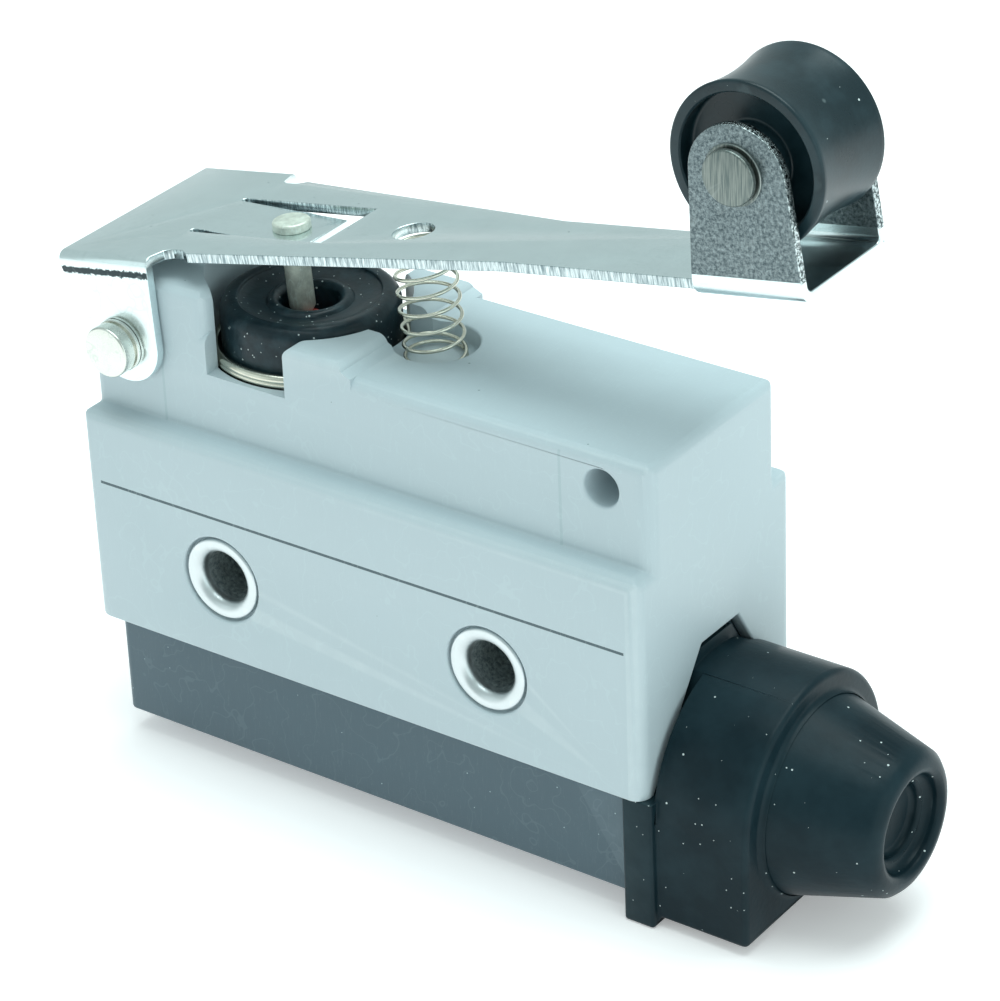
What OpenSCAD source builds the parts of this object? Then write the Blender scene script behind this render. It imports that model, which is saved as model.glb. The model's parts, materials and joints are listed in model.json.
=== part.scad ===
// Enclosed limit switch: hinge lever with a one-way roller bracket over a sealed snap-action switch.
// X runs along the body from the hinge end to the cable end, Y across its thickness, Z up to the lever.
// The origin is midway between the two mounting holes, at mid thickness.

/* [Housing] */
// X of the housing's hinge end
hinge_end_x = -25.9; // [-26.1:0.1:-25.7]
// X of the housing's cable end
cable_end_x = 26.5; // [26.3:0.1:26.7]
// Half thickness of the housing's skirt, which is its printed front and back face
skirt_half = 10.45; // [10.3:0.05:10.6]
// Half thickness of the housing above the step
upper_half = 8.43; // [8.35:0.01:8.5]
// Height of the skirt's bottom edge
skirt_bottom_z = -7.1; // [-7.3:0.1:-6.9]
// Height of the step between the skirt and the upper part
step_z = 11.57; // [11.4:0.01:11.7]
// Height of the level top
top_z = 20; // [19.9:0.1:20.2]
// Height of the post's top, which the lever rests against
post_top_z = 23.4; // [23.1:0.1:23.4]
// Height of the raised tabs beside the seal
tab_top_z = 21; // [20.6:0.1:21.4]
// Radius of the vertical corners and of the upper edges
edge_r = 1.2; // [0.8:0.1:1.3]

/* [Mounting] */
// Distance between the two mounting holes
hole_pitch = 25.4; // [25.2:0.1:25.6]
// Radius of the bore in each mounting ferrule
ferrule_bore_r = 2.15; // [2.05:0.05:2.25]

/* [Base] */
// Height of the base's underside
base_bottom_z = -16.25; // [-16.4:0.05:-16.1]
// Half thickness of the base, which plugs into the skirt
base_half = 9.15; // [9.0:0.05:9.15]

/* [Lever] */
// X of the lever's pivot
pivot_x = -21.9; // [-22.0:0.1:-21.8]
// Height of the lever's pivot
pivot_z = 17.69; // [17.65:0.01:17.75]
// Upward slope of the free lever, in degrees
lever_slope = 9.65; // [9.6:0.05:10]
// Thickness of the lever's sheet steel
sheet_t = 0.8; // [0.7:0.05:0.8]
// Distance from the pivot to the roller's axle along the lever
axle_u = 57.32; // [56.5:0.01:57.6]
// Height of the roller's axle above the pivot, square to the lever
axle_n = 16.01; // [15.8:0.01:16.2]
// Outer radius of the roller
roller_r = 6.25; // [6:0.05:6.4]

/* [Plunger and seal] */
// X of the seal's and the inner plunger's axis
plunger_x = -10.4; // [-10.5:0.1:-10.3]
// Radius of the lever's plunger pin
pin_r = 1.03; // [0.9:0.01:1.1]
// Outer radius of the rubber seal
seal_r = 7.05; // [6.9:0.05:7.05]

/* [Cable entry] */
// X of the terminal cover's end face, where the cable outlet starts
cover_end_x = 35.05; // [34.9:0.05:35.2]
// Height of the cable outlet's axis
outlet_z = -8.8; // [-8.9:0.1:-8.7]
// X of the outlet's tip
outlet_tip_x = 43.5; // [43.0:0.1:44.0]

/* [Hidden] */
$fn = 64;
over = 0.5;

// Housing walls and cavity
skirt_fit = 0.05;
skirt_cavity_half = base_half + skirt_fit;
end_wall = 1.25;
cavity_x0 = hinge_end_x + 1.1;
cavity_x1 = cable_end_x - end_wall;
skirt_ceiling_z = 10.2;
upper_cavity_half = upper_half - 1.33;
well_r = 8;
well_floor_z = 15.4;
well_floor_t = 1.4;
well_wall = 1.4;
roof_t = 1.6;
right_post_x = 19.4;
window_x0 = -14.15;
window_x1 = -6.6;
window_z = 16.7;
tab_x1 = -1;
spare_hole_x = 22.2;
spare_hole_z = 17.3;
pocket_x = 1.5;
pocket_r = 3.4;
pocket_floor_z = 18.6;
cutout_half_low = 8.7;
cutout_half_high = 2.5;
cutout_top_z = 2.45;
cutout_shift_y = 0.4;

// Mounting ferrules
ferrule_r = 2.9;
ferrule_flange_r = 3.42;
counterbore_r = 3.65;
ferrule_seat_y = 9.75;
ferrule_face_y = 10.35;
flare_r = 0.85;
boss_r = 3.9;

// Base
base_x0 = cavity_x0 + skirt_fit;
base_x1 = cavity_x1 - skirt_fit;
base_top_z = 9.8;
base_wall = 1.4;
base_floor = 1.5;
shelf_top_z = -10.4;
shelf_bottom_z = -15.6;
shelf_x1 = 32.8;
shelf_half = 7.9;
gasket_z = 5.2;
gasket_t = 0.9;

// Pivot pin, lever and roller
pivot_r = 1.5;
running = 0.05;
pivot_head_r = 2.07;
pivot_face_y = 11.2;
head_groove = 0.3;
ear_in = 8.61;
ear_out = ear_in + sheet_t;
plate_n = 7.31;
plate_low_n = plate_n - sheet_t;
lever_left_u = -4.49;
ear_right_u = 4.5;
lobe_r = 3.3;
lobe_u = 0.5;
arm_start_u = 7.16;
arm_half_wide = 7.56;
arm_neck_u = 34.8;
arm_half_slim = 4.03;
notch_half = 7;
bracket_u0 = 52.3;
bracket_u1 = 61.38;
bracket_out = 5.54;
bracket_in = bracket_out - sheet_t;
bracket_bend_r = 0.5;
bracket_flat = bracket_in - bracket_bend_r;
bracket_top_r = 3.93;
bracket_top_u = 57.45;
bracket_top_n = 15.69;
lever_hole_u = 23.4;
lever_hole_r = 1.65;
slot_u0 = 4;
slot_u1 = 17.2;
slot_half = 3.5;
tongue_half = 2.9;
tongue_root_u = 4.5;
tongue_drop = 5;
tongue_len = 10.1;
axle_r = 1.6;
axle_head_r = 2.1;
axle_face_y = 6.44;
roller_half = 4.05;
roller_hub_half = 4.6;
roller_hub_r = 2.8;
roller_recess_r = 5.35;
roller_web_half = 2.6;
roller_waist = 0.3;

// Plunger pin, inner plunger and its guide
pin_along = 6.98;
pin_len = 6.84;
pin_head_r = 1.5;
pin_head_t = 0.75;
button_r = 1.5;
button_top_z = 19.2;
button_tip_z = 10.15;
guide_r = 2.6;
guide_bottom_z = 12.4;
guide_flange_r = 3.4;
guide_flange_t = 0.55;

// Seal and its retaining ring
seal_top_z = 21.2;
ring_wire_r = 0.4;
ring_r = 7.5;

// Return spring
spring_r = 2.335;
spring_wire_r = 0.15;
spring_turns = 9;
spring_end_turns = 1;
spring_sides = 8;
spring_steps = 24;
spring_top_u = 24;

// Snap mechanism
lane_y = 5;
lane_half = 1.7;
strip_t = 0.8;
strip_drop_x = 22.6;
strip_end_x = 32.2;
contact_x = -20.5;
blade_x1 = 18.9;
blade_pivot_x = 17.8;
blade_top_z = 9.9;
blade_t = 0.3;
blade_half = 2.6;
block_z0 = boss_r;
block_t = 1.15;
no_strip_z = block_z0 + block_t;
com_strip_z = 8.55;
nc_strip_z = 11;
contact_r = 1.1;
screw_x = 29.4;
screw_r = 1.25;
screw_head_r = 2.2;

// Terminal cover
cover_wall = 1.5;
arch_x0 = cable_end_x + 0.5;
collar_x0 = 24.5;

// Extrudes an X-Z outline from y0 to y1
module along_y(y0, y1) {
    translate([0, y1, 0]) rotate([90, 0, 0]) linear_extrude(y1 - y0) children();
}

// Extrudes a Y-Z outline from x0 to x1
module along_x(x0, x1) {
    translate([x0, 0, 0]) rotate([90, 0, 90]) linear_extrude(x1 - x0) children();
}

// Box between two corners
module block(x0, x1, y0, y1, z0, z1) {
    translate([x0, y0, z0]) cube([x1 - x0, y1 - y0, z1 - z0]);
}

// Cylinder along Y through the point (x, z)
module cross_pin(x, z, r, y0, y1) {
    translate([x, y1, z]) rotate([90, 0, 0]) cylinder(r = r, h = y1 - y0);
}

// Rectangle with four round corners
module round_rect(x0, x1, y0, y1, r) {
    translate([x0 + r, y0]) square([x1 - x0 - 2 * r, y1 - y0]);
    translate([x0, y0 + r]) square([x1 - x0, y1 - y0 - 2 * r]);
    for (x = [x0 + r, x1 - r], y = [y0 + r, y1 - r]) translate([x, y]) circle(r);
}

// Rectangle with its two upper corners round
module round_top(x0, x1, z0, z1, r) {
    translate([x0, z0]) square([x1 - x0, z1 - z0 - r]);
    translate([x0 + r, z0]) square([x1 - x0 - 2 * r, z1 - z0]);
    for (x = [x0 + r, x1 - r]) translate([x, z1 - r]) circle(r);
}

// Block with round vertical corners and round upper edges
module soft_block(x0, x1, half, z0, z1, corner, top) {
    intersection() {
        translate([0, 0, z0]) linear_extrude(z1 - z0) round_rect(x0, x1, -half, half, corner);
        along_y(-half, half) round_top(x0, x1, z0, z1, top);
        along_x(x0, x1) round_top(-half, half, z0, z1, top);
    }
}

// Places what is drawn in the lever's own axes: u along the lever, Y across, n square to it
module on_lever() {
    translate([pivot_x, 0, pivot_z]) rotate([0, -lever_slope, 0]) children();
}

// ---- Case ----

module housing_cavity() {
    translate([0, 0, skirt_bottom_z - over])
        linear_extrude(skirt_ceiling_z - skirt_bottom_z + over)
            round_rect(cavity_x0, cavity_x1, -skirt_cavity_half, skirt_cavity_half, 0.6);
    well_under_z = well_floor_z - well_floor_t;
    block(cavity_x0 + 0.8, right_post_x + 4, -upper_cavity_half, upper_cavity_half,
          skirt_ceiling_z - over, well_under_z);
    difference() {
        block(plunger_x, right_post_x, -upper_cavity_half, upper_cavity_half,
              well_under_z - over, top_z - roof_t);
        translate([plunger_x, 0, 0]) cylinder(r = well_r + well_wall, h = top_z);
        translate([pocket_x, 0, pocket_floor_z - well_floor_t]) cylinder(r = pocket_r + well_wall, h = top_z);
    }
}

module housing_tab() {
    slope = 0.8;
    base_z = top_z - 2;
    intersection() {
        along_y(-upper_half, upper_half) {
            round_top(window_x1, tab_x1, base_z, tab_top_z, 0.9);
            polygon([[tab_x1 - 1, base_z], [tab_x1 + slope, base_z], [tab_x1 + slope, top_z],
                     [tab_x1 - 0.2, tab_top_z - 0.55], [tab_x1 - 1, tab_top_z - 0.2]]);
        }
        along_x(window_x1, tab_x1 + slope) round_top(-upper_half, upper_half, base_z, tab_top_z, 0.7);
    }
}

module housing_cutout() {
    bottom_z = skirt_bottom_z - over;
    along_x(cavity_x1 - over, cable_end_x + over)
        polygon([[-cutout_half_low, bottom_z], [cutout_half_low, bottom_z],
                 [cutout_half_low, skirt_bottom_z], [cutout_shift_y + cutout_half_high, cutout_top_z],
                 [cutout_shift_y - cutout_half_high, cutout_top_z], [-cutout_half_low, skirt_bottom_z]]);
}

module housing() {
    color([0.71, 0.82, 0.83]) difference() {
        union() {
            soft_block(hinge_end_x, cable_end_x, skirt_half, skirt_bottom_z, step_z, edge_r, edge_r);
            soft_block(hinge_end_x, cable_end_x, upper_half, step_z - 4, top_z, edge_r, 1);
            soft_block(hinge_end_x, window_x0, upper_half, step_z - 4, post_top_z, edge_r, edge_r);
            housing_tab();
        }
        housing_cavity();
        housing_cutout();
        translate([plunger_x, 0, well_floor_z]) cylinder(r = well_r, h = post_top_z);
        translate([plunger_x, 0, well_floor_z - 2 * well_floor_t]) cylinder(r = guide_r, h = top_z);
        block(window_x0, window_x1, -skirt_half, skirt_half, window_z, post_top_z + over);
        translate([pocket_x, 0, pocket_floor_z]) cylinder(r = pocket_r, h = top_z);
        block(plunger_x, pocket_x, -pocket_r + 0.8, pocket_r - 0.8, pocket_floor_z, tab_top_z + over);
        cross_pin(pivot_x, pivot_z, pivot_r, -skirt_half, skirt_half);
        cross_pin(spare_hole_x, spare_hole_z, pivot_r, -skirt_half, skirt_half);
        for (x = [-hole_pitch / 2, hole_pitch / 2]) {
            cross_pin(x, 0, ferrule_r, -skirt_half - over, skirt_half + over);
            cross_pin(x, 0, counterbore_r, ferrule_seat_y, skirt_half + over);
            cross_pin(x, 0, counterbore_r, -skirt_half - over, -ferrule_seat_y);
        }
    }
}

// Dark insulating tray that plugs into the skirt and carries the terminals
module base() {
    in_x0 = base_x0 + base_wall;
    in_x1 = base_x1 - base_wall;
    in_half = base_half - base_wall;
    floor_z = base_bottom_z + base_floor;
    color([0.30, 0.37, 0.42]) difference() {
        union() {
            difference() {
                translate([0, 0, base_bottom_z]) linear_extrude(base_top_z - base_bottom_z)
                    round_rect(base_x0, base_x1, -base_half, base_half, 0.7);
                block(in_x0, in_x1, -in_half, in_half, floor_z, base_top_z + over);
            }
            for (x = [-hole_pitch / 2, hole_pitch / 2]) {
                cross_pin(x, 0, boss_r, -in_half - over, in_half + over);
                block(x - 1.2, x + 1.2, -in_half - over, in_half + over, floor_z - over, 0);
            }
            block(base_x1 - over, shelf_x1, -shelf_half, shelf_half, shelf_bottom_z, shelf_top_z);
            for (y = [-lane_y / 2, lane_y / 2])
                block(base_x1 - over, shelf_x1, y - 0.2, y + 0.2, shelf_top_z - over, shelf_top_z + 3.4);
        }
        for (x = [-hole_pitch / 2, hole_pitch / 2])
            cross_pin(x, 0, ferrule_r, -base_half - over, base_half + over);
        for (y = [-lane_y, 0, lane_y]) {
            block(in_x1 - over, base_x1 + over, y - lane_half, y + lane_half,
                  shelf_top_z, shelf_top_z + strip_t);
            translate([screw_x, y, shelf_bottom_z + 1]) cylinder(r = screw_r, h = 5);
        }
        difference() {
            translate([0, 0, gasket_z]) linear_extrude(gasket_t)
                round_rect(base_x0 - over, base_x1 + over, -base_half - over, base_half + over, 0.7);
            translate([0, 0, gasket_z - over]) linear_extrude(gasket_t + 2 * over)
                round_rect(base_x0 + 0.6, base_x1 - 0.6, -base_half + 0.6, base_half - 0.6, 0.7);
        }
    }
}

module base_gasket() {
    color([0.13, 0.13, 0.14]) translate([0, 0, gasket_z]) linear_extrude(gasket_t) difference() {
        round_rect(base_x0, base_x1, -base_half, base_half, 0.7);
        round_rect(base_x0 + 0.6, base_x1 - 0.6, -base_half + 0.6, base_half - 0.6, 0.7);
    }
}

// Half of a ferrule's wall, with its mouth flared in a quarter round
module ferrule_half() {
    rotate_extrude() polygon(concat(
        [[ferrule_bore_r, 0], [ferrule_r, 0], [ferrule_r, ferrule_seat_y],
         [ferrule_flange_r, ferrule_seat_y], [ferrule_flange_r, ferrule_face_y - 0.25],
         [ferrule_flange_r - 0.2, ferrule_face_y]],
        [for (a = [90:-15:15]) [ferrule_bore_r + flare_r - flare_r * cos(90 - a),
                                ferrule_face_y - flare_r + flare_r * sin(a)]],
        [[ferrule_bore_r, ferrule_face_y - flare_r]]));
}

module mounting_ferrules() {
    color([0.80, 0.82, 0.82]) for (x = [-hole_pitch / 2, hole_pitch / 2]) translate([x, 0, 0]) {
        rotate([90, 0, 0]) ferrule_half();
        rotate([-90, 0, 0]) ferrule_half();
    }
}

// ---- Seal ----

// Rubber wiper seal around the plunger
module seal_boot() {
    inner_r = 2.3;
    lip_r = button_r + running;
    tube_r = 3.2;
    skin_r = 6.2;
    crown_z = seal_top_z - 1.6;
    lip_top_z = well_floor_z + 1.5;
    color([0.13, 0.15, 0.17]) translate([plunger_x, 0, 0]) rotate_extrude() polygon(concat(
        [[skin_r, well_floor_z], [well_r - 0.15, well_floor_z], [well_r - 0.15, well_floor_z + 0.75],
         [seal_r, well_floor_z + 0.75]],
        [for (a = [0:15:90]) [seal_r - 0.7 + 0.7 * cos(a), seal_top_z - 0.7 + 0.7 * sin(a)]],
        [[5.8, seal_top_z], [5.65, seal_top_z - 0.35], [5.4, seal_top_z - 0.35], [5.25, seal_top_z - 0.1],
         [3.5, seal_top_z - 0.2], [3.3, seal_top_z - 0.05], [2.7, seal_top_z - 0.05],
         [inner_r, seal_top_z - 0.45], [inner_r, lip_top_z + 0.3], [lip_r, lip_top_z],
         [lip_r, well_floor_z + 0.65], [tube_r, well_floor_z + 0.65], [tube_r, crown_z],
         [skin_r, crown_z]]));
}

// Two stacked turns of spring wire that hold the seal in its well
module seal_ring() {
    color([0.72, 0.71, 0.66]) translate([plunger_x, 0, 0])
        for (turn = [0, 1])
            translate([0, 0, well_floor_z + 1.2 + 0.78 * turn])
                rotate_extrude() translate([ring_r, 0]) circle(ring_wire_r);
}

// ---- Lever ----

// Shaft along Y through (x, z) with a grooved rivet head at each end
module headed_shaft(x, z, r, head_r, seat_y, face_y) {
    cross_pin(x, z, r, -face_y + 0.1, face_y - 0.1);
    for (side = [-1, 1]) on_side(side) {
        cross_pin(x, z, head_r - 0.05, seat_y, seat_y + head_groove);
        cross_pin(x, z, head_r - 0.28, seat_y, seat_y + 2 * head_groove);
        cross_pin(x, z, head_r, seat_y + 1.7 * head_groove, face_y - 0.12);
        cross_pin(x, z, head_r - 0.12, face_y - 0.2, face_y);
    }
}

// Draws the back piece as given for side 1 and mirrors it to the front for side -1
module on_side(side) {
    if (side < 0) mirror([0, 1, 0]) children();
    else children();
}

module pivot_pin() {
    color([0.85, 0.85, 0.80])
        headed_shaft(pivot_x, pivot_z, pivot_r, pivot_head_r, ear_out + running, pivot_face_y);
}

// Outline of the lever's flat part, u across the page and Y up it
module lever_outline() {
    polygon([
        [lever_left_u, -ear_in], [ear_right_u, -ear_in], [ear_right_u + 0.3, -notch_half - 0.4],
        [ear_right_u + 0.9, -notch_half], [arm_start_u - 0.8, -notch_half],
        [arm_start_u, -arm_half_wide], [arm_neck_u, -arm_half_slim], [bracket_u0, -arm_half_slim],
        [bracket_u0, -bracket_flat], [bracket_u1, -bracket_flat], [bracket_u1, bracket_flat],
        [bracket_u0, bracket_flat], [bracket_u0, arm_half_slim], [arm_neck_u, arm_half_slim],
        [arm_start_u, arm_half_wide], [arm_start_u - 0.8, notch_half], [ear_right_u + 0.9, notch_half],
        [ear_right_u + 0.3, notch_half + 0.4], [ear_right_u, ear_in], [lever_left_u, ear_in]]);
}

// Window around the tongue: a slot with a round end along each side, joined beyond the tongue's tip
module tongue_window() {
    slot_w = slot_half - tongue_half;
    for (y = [-slot_half + slot_w / 2, slot_half - slot_w / 2]) {
        translate([slot_u0 + slot_w / 2, y]) circle(slot_w / 2);
        translate([slot_u0 + slot_w / 2, y - slot_w / 2]) square([slot_u1 - slot_u0 - slot_w / 2, slot_w]);
    }
    start_u = tongue_root_u - 0.2;
    translate([start_u, -slot_half]) square([slot_u1 - start_u, 2 * slot_half]);
}

// Outline of an ear below the bend, u across the page and n up it
module ear_outline() {
    circle_n = 0.2;
    translate([lobe_u, circle_n]) circle(lobe_r);
    polygon([[lever_left_u, plate_low_n], [ear_right_u, plate_low_n], [lobe_u + lobe_r, circle_n],
             [lobe_u, circle_n - 1], [lobe_u - lobe_r * 0.97, circle_n - 0.6]]);
}

// Side view of the tongue: level where it leaves the plate, then bent down
module tongue_outline() {
    across_t = [sheet_t * sin(tongue_drop), sheet_t * cos(tongue_drop)];
    root = [tongue_root_u, plate_n];
    tip = root + tongue_len * [cos(tongue_drop), -sin(tongue_drop)];
    polygon([[root.x - 1, plate_low_n], [root.x - sheet_t * tan(tongue_drop / 2), plate_low_n], tip - across_t,
             tip, root, [root.x - 1, plate_n]]);
}

// Outline of a roller flange above the bend
module flange_outline() {
    foot_n = plate_n + bracket_bend_r;
    translate([bracket_top_u, bracket_top_n]) circle(bracket_top_r);
    polygon([[bracket_u0, foot_n], [bracket_u1, foot_n], [bracket_top_u + bracket_top_r, bracket_top_n],
             [bracket_top_u - bracket_top_r + 0.04, bracket_top_n + 0.5]]);
}

// Quarter round of sheet from u0 to u1 with its centre at (y, n), opening to +Y and up or down
module bend(u0, u1, y, n, inner_r, up) {
    along_x(u0, u1) translate([y, n]) intersection() {
        difference() {
            circle(inner_r + sheet_t);
            circle(inner_r);
        }
        translate([0, up ? 0 : -inner_r - sheet_t]) square(inner_r + sheet_t);
    }
}

module lever_plate() {
    color([0.80, 0.86, 0.87]) difference() {
        union() {
            on_lever() difference() {
                union() {
                    translate([0, 0, plate_low_n]) linear_extrude(sheet_t) lever_outline();
                    for (side = [-1, 1]) on_side(side) {
                        along_y(ear_in, ear_out) ear_outline();
                        bend(lever_left_u, ear_right_u, ear_in, plate_low_n, 0, true);
                        along_y(bracket_in, bracket_out) flange_outline();
                        bend(bracket_u0, bracket_u1, bracket_in - bracket_bend_r,
                             plate_n + bracket_bend_r, bracket_bend_r, false);
                    }
                }
                linear_extrude(2 * plate_n) tongue_window();
                translate([lever_hole_u, 0, 0]) cylinder(r = lever_hole_r, h = 2 * plate_n);
                cross_pin(0, 0, pivot_r + running, -2 * ear_out, 2 * ear_out);
                cross_pin(axle_u, axle_n, axle_r, -2 * bracket_out, 2 * bracket_out);
            }
            on_lever() along_y(-tongue_half, tongue_half) tongue_outline();
        }
        on_tongue() translate([pin_along, 0, -2 * sheet_t]) cylinder(r = pin_r, h = 3 * sheet_t);
    }
}

// Places what is drawn in the tongue's own axes: its root on top of the plate, its top face at 0
module on_tongue() {
    on_lever() translate([tongue_root_u, 0, plate_n]) rotate([0, tongue_drop, 0]) children();
}

module plunger_pin() {
    color([0.78, 0.76, 0.70]) on_tongue() translate([pin_along, 0, 0]) rotate_extrude() polygon([
        [0, -pin_len], [pin_r - 0.2, -pin_len], [pin_r, -pin_len + 0.3], [pin_r, 0], [pin_head_r, 0],
        [pin_head_r, pin_head_t - 0.2], [pin_head_r - 0.2, pin_head_t], [0, pin_head_t]]);
}

// Point on the spring's wire at turn t, leaning over to meet the sloping lever
function spring_height() = spring_top_z() - spring_low_z();
function spring_low_z() = pocket_floor_z + spring_wire_r + 0.02;
function spring_top_x() = pivot_x + spring_top_u * cos(lever_slope) - spring_top_n() * sin(lever_slope);
function spring_top_z() = pivot_z + spring_top_u * sin(lever_slope) + spring_top_n() * cos(lever_slope);
function spring_top_n() = plate_low_n - spring_wire_r - 0.05;
function spring_rise(t) =
    t < spring_end_turns ? 0.03 * t / spring_end_turns
    : t > spring_turns - spring_end_turns ? 1 - 0.03 * (spring_turns - t) / spring_end_turns
    : 0.03 + 0.94 * (t - spring_end_turns) / (spring_turns - 2 * spring_end_turns);
function spring_point(t, out, up) =
    let (s = spring_rise(t), a = 360 * t, lean = lever_slope * s, r = spring_r + out)
    [pocket_x + (spring_top_x() - pocket_x) * s + r * cos(a) * cos(lean) - up * sin(lean),
     r * sin(a),
     spring_low_z() + spring_height() * s + r * cos(a) * sin(lean) + up * cos(lean)];

module return_spring() {
    rings = floor(spring_turns * spring_steps);
    points = [for (i = [0:rings], j = [0:spring_sides - 1])
        let (b = 360 * j / spring_sides)
        spring_point(i / spring_steps, spring_wire_r * cos(b), spring_wire_r * sin(b))];
    last = rings * spring_sides;
    walls = [for (i = [0:rings - 1], j = [0:spring_sides - 1])
        let (k = (j + 1) % spring_sides, a = i * spring_sides, b = a + spring_sides)
        [a + j, b + j, b + k, a + k]];
    ends = [[for (j = [0:spring_sides - 1]) j], [for (j = [spring_sides - 1:-1:0]) last + j]];
    color([0.70, 0.68, 0.60]) polyhedron(points, concat(walls, ends), convexity = 10);
}

module roller() {
    edge = 0.15;
    tread_half = roller_half - edge;
    color([0.16, 0.18, 0.20]) on_lever() translate([axle_u, 0, axle_n]) rotate([90, 0, 0])
        rotate_extrude() polygon(concat(
            [[axle_r + running, -roller_hub_half], [roller_hub_r, -roller_hub_half],
             [roller_hub_r, -roller_web_half], [roller_recess_r, -roller_web_half],
             [roller_recess_r, -roller_half], [roller_r - edge, -roller_half]],
            [for (i = [-4:4]) [roller_r - roller_waist * (1 - pow(i / 4, 2)), tread_half * i / 4]],
            [[roller_r - edge, roller_half], [roller_recess_r, roller_half],
             [roller_recess_r, roller_web_half], [roller_hub_r, roller_web_half],
             [roller_hub_r, roller_hub_half], [axle_r + running, roller_hub_half]]));
}

module roller_axle() {
    color([0.78, 0.76, 0.70]) on_lever()
        headed_shaft(axle_u, axle_n, axle_r, axle_head_r, bracket_out, axle_face_y);
}

// ---- Switch mechanism ----

module plunger_guide() {
    color([0.78, 0.66, 0.36]) translate([plunger_x, 0, 0]) difference() {
        union() {
            translate([0, 0, guide_bottom_z]) cylinder(r = guide_r, h = well_floor_z - guide_bottom_z);
            translate([0, 0, well_floor_z]) cylinder(r = guide_flange_r, h = guide_flange_t);
        }
        cylinder(r = button_r + running, h = top_z);
    }
}

module inner_plunger() {
    collar_top = guide_bottom_z - 0.3;
    color([0.75, 0.20, 0.16]) translate([plunger_x, 0, 0]) rotate_extrude() polygon([
        [0, button_tip_z], [0.6, button_tip_z], [1.2, button_tip_z + 0.35], [1.5, button_tip_z + 0.8],
        [2.4, button_tip_z + 0.8], [2.4, collar_top], [button_r, collar_top],
        [button_r, button_top_z - 0.5], [button_r - 0.5, button_top_z], [0, button_top_z]]);
}

// Insulating block on the ferrule bosses that carries the contact strips
module contact_block() {
    half = base_half - base_wall - 0.1;
    x0 = base_x0 + base_wall + 0.1;
    color([0.55, 0.28, 0.18]) {
        block(x0, strip_drop_x - strip_t - 0.2, -half, half, block_z0, no_strip_z);
        block(15.2, strip_drop_x - strip_t - 0.2, -lane_half, lane_half, no_strip_z, com_strip_z);
        for (x = [x0, 14]) block(x, x + 4.6, lane_y - lane_half, lane_y + lane_half, no_strip_z, nc_strip_z);
    }
}

// Strip that runs along one lane, drops at the cable end and comes out on the terminal shelf
module terminal_strip(y, z, x0) {
    color([0.83, 0.68, 0.34]) difference() {
        union() {
            block(x0, strip_drop_x, y - lane_half, y + lane_half, z, z + strip_t);
            block(strip_drop_x - strip_t, strip_drop_x, y - lane_half, y + lane_half,
                  shelf_top_z, z + strip_t);
            block(strip_drop_x - strip_t, strip_end_x, y - lane_half, y + lane_half,
                  shelf_top_z, shelf_top_z + strip_t);
        }
        translate([screw_x, y, shelf_top_z - over]) cylinder(r = screw_r, h = 2);
        if (y == 0) translate([blade_pivot_x, 0, z - over]) cylinder(r = 1, h = 2);
    }
}

module common_terminal() {
    terminal_strip(0, com_strip_z, 15.2);
}

module nc_terminal() {
    terminal_strip(lane_y, nc_strip_z, contact_x - 1.8);
    color([0.83, 0.68, 0.34])
        block(contact_x - 1.8, contact_x + 1.8, -1.8, lane_y, nc_strip_z, nc_strip_z + strip_t);
}

module no_terminal() {
    terminal_strip(-lane_y, no_strip_z, contact_x - 1.8);
    color([0.83, 0.68, 0.34])
        block(contact_x - 1.8, contact_x + 1.8, -lane_y, 1.8, no_strip_z, no_strip_z + strip_t);
}

// Silver contact rivet standing off a strip
module contact_button(z0, z1) {
    color([0.86, 0.86, 0.84]) translate([contact_x, 0, z0]) cylinder(r = contact_r, h = z1 - z0);
}

module nc_contact() {
    contact_button(nc_strip_z - 0.5, nc_strip_z);
}

module no_contact() {
    contact_button(no_strip_z + strip_t, no_strip_z + strip_t + 0.5);
}

module moving_contact() {
    low = blade_top_z - blade_t;
    contact_button(low - 0.5, low);
    contact_button(blade_top_z, blade_top_z + 0.5);
}

module moving_blade() {
    color([0.80, 0.56, 0.34]) translate([0, 0, blade_top_z - blade_t]) linear_extrude(blade_t) difference() {
        union() {
            translate([contact_x - 1.3, -1.6]) square([blade_x1 - contact_x + 1.3, 3.2]);
            translate([-14, -blade_half]) square([28, 2 * blade_half]);
        }
        translate([-7.2, -1.5]) square([14.4, 3]);
        translate([blade_pivot_x, 0]) circle(1.2);
    }
}

// Bowed leaf in the blade's window that snaps it over
module snap_leaf() {
    bow_r = 12;
    half_span = 7.1;
    centre_z = blade_top_z - blade_t / 2 + sqrt(bow_r * bow_r - half_span * half_span);
    color([0.78, 0.60, 0.38]) along_y(-1.2, 1.2) intersection() {
        difference() {
            translate([0, centre_z]) circle(bow_r);
            translate([0, centre_z]) circle(bow_r - 0.25);
        }
        translate([-half_span, centre_z - 2 * bow_r]) square([2 * half_span, 2 * bow_r]);
    }
}

module blade_rivet() {
    color([0.72, 0.72, 0.70]) translate([blade_pivot_x, 0, 0]) {
        translate([0, 0, com_strip_z]) cylinder(r = 1, h = blade_top_z + 0.4 - com_strip_z);
        translate([0, 0, blade_top_z + 0.35]) cylinder(r = 1.9, h = 0.5);
    }
}

module terminal_screws() {
    washer_top = shelf_top_z + strip_t + 0.4;
    color([0.84, 0.85, 0.83]) for (y = [-lane_y, 0, lane_y]) translate([screw_x, y, 0]) difference() {
        union() {
            translate([0, 0, shelf_bottom_z + 1.5]) cylinder(r = screw_r, h = washer_top - shelf_bottom_z - 1.5);
            translate([0, 0, washer_top]) cylinder(r = screw_head_r, h = 1.5);
        }
        translate([-screw_head_r - over, -0.3, washer_top + 0.8]) cube([2 * screw_head_r + 2 * over, 0.6, 1]);
    }
}

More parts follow.
